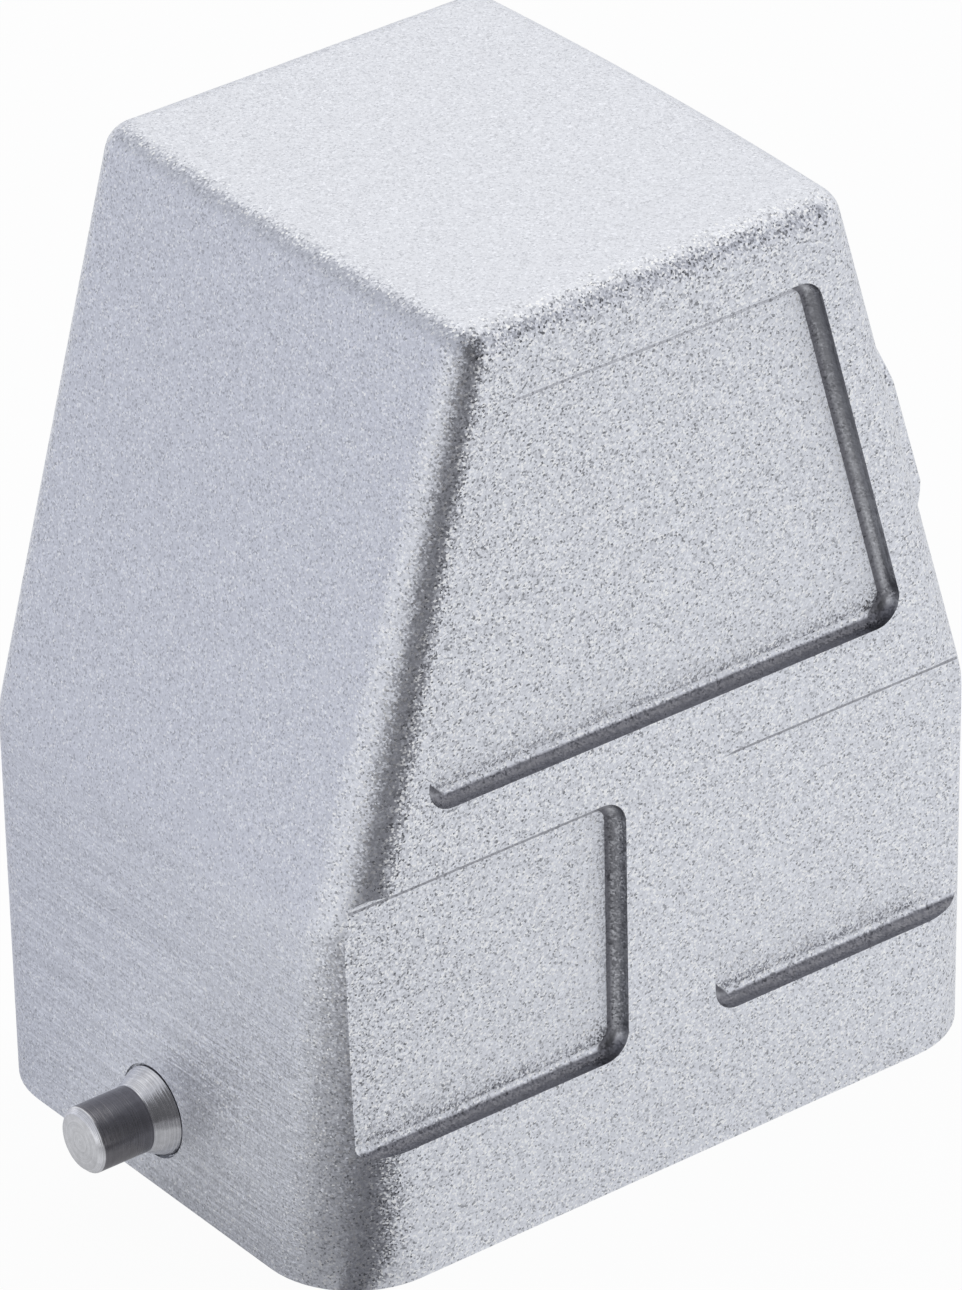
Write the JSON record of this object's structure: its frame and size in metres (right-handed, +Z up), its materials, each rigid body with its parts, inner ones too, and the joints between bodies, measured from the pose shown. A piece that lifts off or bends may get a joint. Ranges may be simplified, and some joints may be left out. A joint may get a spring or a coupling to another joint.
{
  "type": "rectangular connector hood",
  "caption": "Tapered die-cast aluminium hood with an open rim, recessed side panels, a threaded cable entry in one sloping end and a steel locking peg at each end.",
  "frame": {"origin": "centre of the open rim, in the rim's plane", "axes": "+X along the length to the end with the cable entry, +Y across the width, +Z up from the rim to the roof"},
  "size_m": [0.0722, 0.043, 0.072],
  "materials": {
    "blasted_aluminium": "bare die casting, shot blasted, ends ground",
    "turned_steel": "turned, bright"
  },
  "bodies": {
    "root": {"hood_body": "blasted_aluminium", "locking_peg_left": "turned_steel", "locking_peg_right": "turned_steel"}
  },
  "joints": []
}
